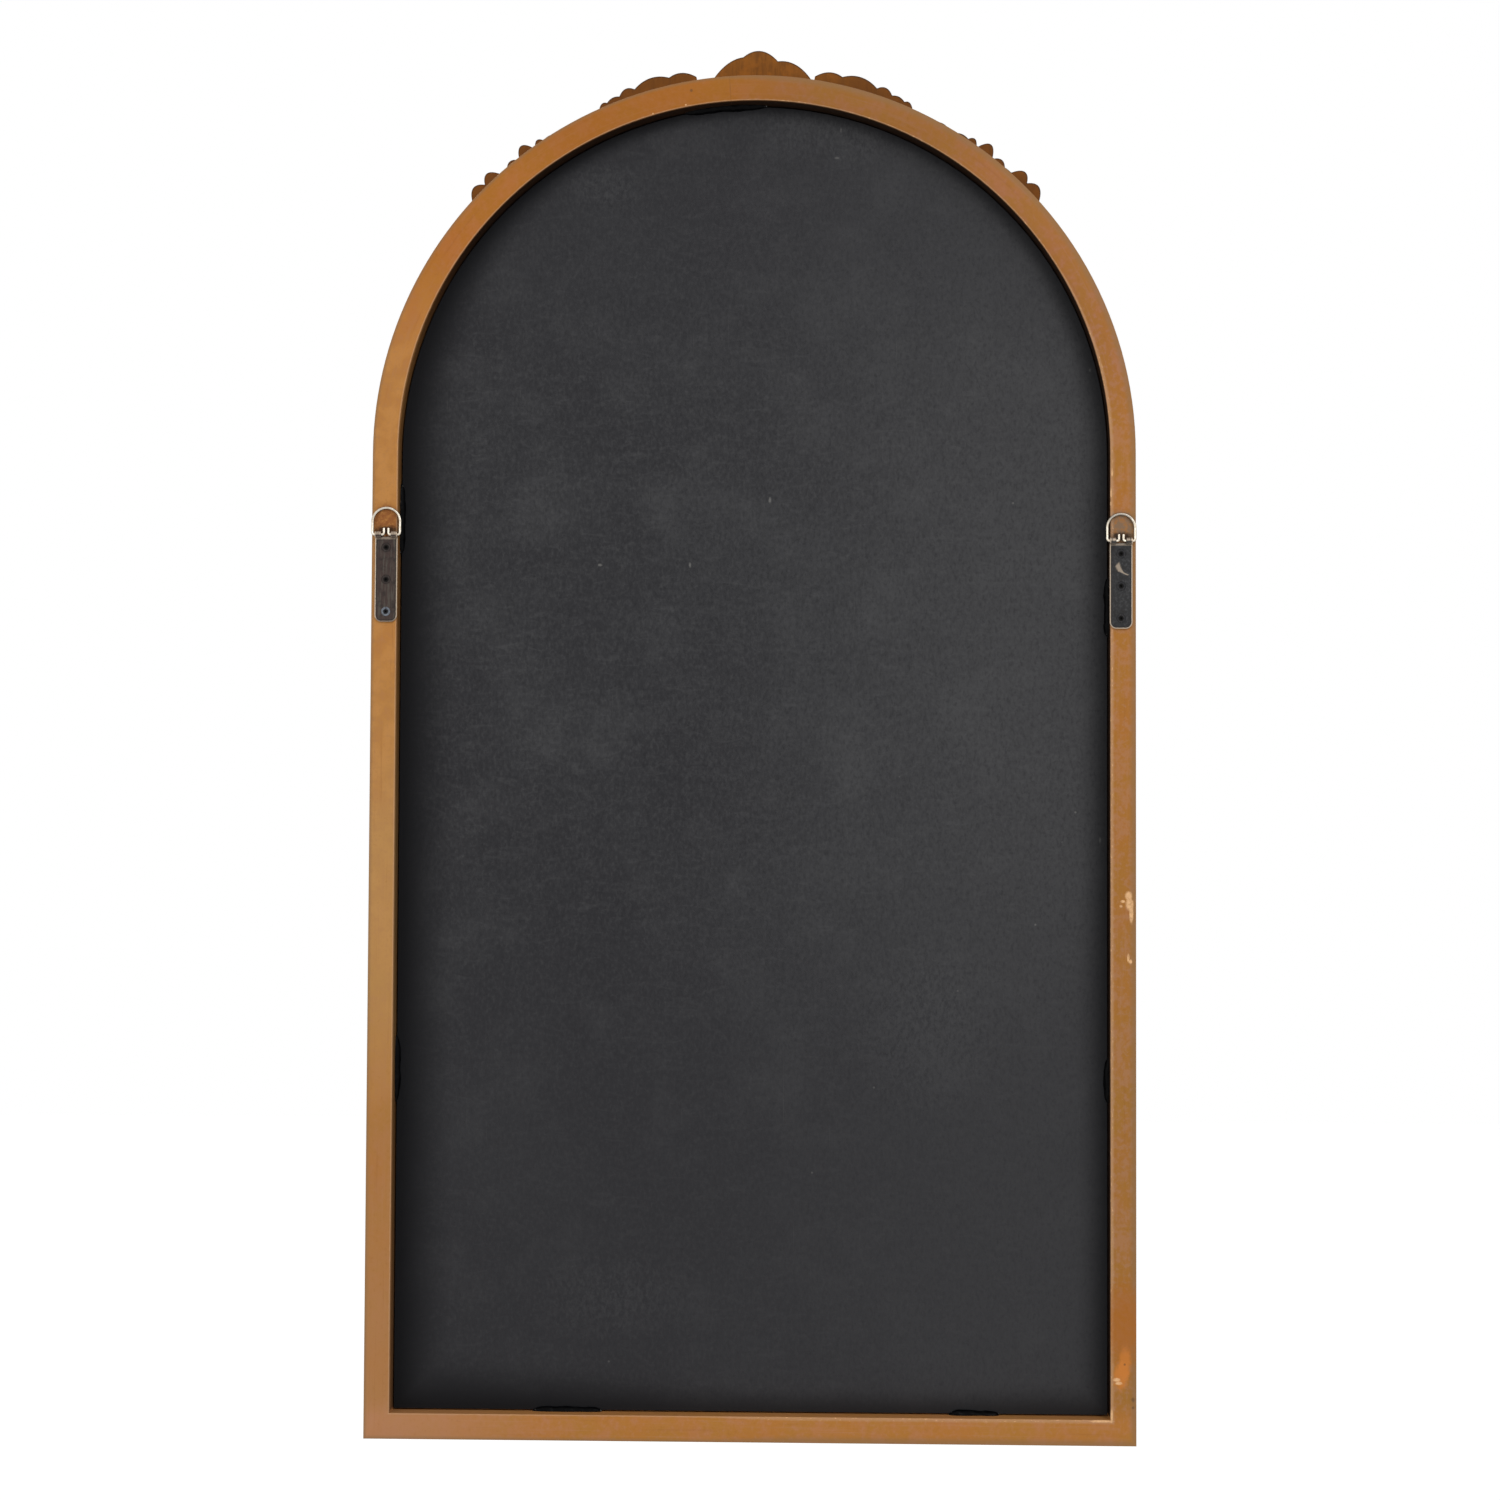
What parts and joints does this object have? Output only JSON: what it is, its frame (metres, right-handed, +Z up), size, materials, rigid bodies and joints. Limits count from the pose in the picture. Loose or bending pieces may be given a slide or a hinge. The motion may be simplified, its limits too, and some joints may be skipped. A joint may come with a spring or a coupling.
{
  "type": "arched accent mirror",
  "caption": "Arched wall mirror in a moulded gold frame with a carved leaf crest, a black backing board and strap hangers with swinging D-rings.",
  "frame": {"origin": "the hook line: midway between the tops of the two D-rings, on the plane of the frame's flat back", "axes": "+Z up, +Y out of the back towards the wall, -Y out of the glass, +X to the right as seen by someone who looks at the glass"},
  "size_m": [0.5084, 0.0448, 0.9291],
  "materials": {
    "gold_paint": "gold-bronze painted wood, satin, slightly mottled",
    "crest_gold": "gold-bronze painted carving, darker in the hollows",
    "beech": "bare beech dowel",
    "mirror": "silvered float glass",
    "board": "black-painted fibreboard, dull",
    "glue": "black hot-melt glue, shiny",
    "bronze": "antique bronze coated steel strap, bright where worn",
    "zinc_wire": "bright zinc-plated steel wire",
    "screw_bronze": "antique bronze coated steel screw"
  },
  "bodies": {
    "frame": {"left_stile": "gold_paint", "right_stile": "gold_paint", "bottom_rail": "gold_paint", "left_arch": "gold_paint", "right_arch": "gold_paint", "crown_dowel": "beech", "left_shoulder_dowel": "beech", "right_shoulder_dowel": "beech", "left_corner_dowel": "beech", "right_corner_dowel": "beech", "mirror_glass": "mirror", "backing_board": "board", "crest_palmette": "crest_gold", "left_inner_spray": "crest_gold", "right_inner_spray": "crest_gold", "left_outer_spray": "crest_gold", "right_outer_spray": "crest_gold", "glue_right_upper": "glue", "glue_right_lower": "glue", "glue_left_upper": "glue", "glue_left_lower": "glue", "glue_foot_right": "glue", "glue_foot_left": "glue", "glue_crown": "glue", "left_hanger_plate": "bronze", "right_hanger_plate": "bronze", "left_hanger_screw_1": "screw_bronze", "left_hanger_screw_2": "screw_bronze", "left_hanger_screw_3": "screw_bronze", "right_hanger_screw_1": "screw_bronze", "right_hanger_screw_2": "screw_bronze", "right_hanger_screw_3": "screw_bronze"},
    "left_ring": {"left_d_ring": "zinc_wire"},
    "right_ring": {"right_d_ring": "zinc_wire"}
  },
  "joints": [
    {"name": "left_ring_hinge", "type": "hinge", "parent": "frame", "child": "left_ring", "pos_m": [-0.2441, 0.00255, -0.019], "axis": [-1, 0, 0], "range_deg": [0, 183]},
    {"name": "right_ring_hinge", "type": "hinge", "parent": "frame", "child": "right_ring", "pos_m": [0.2441, 0.00255, -0.0152], "axis": [-1, 0, 0], "range_deg": [0, 183]}
  ]
}
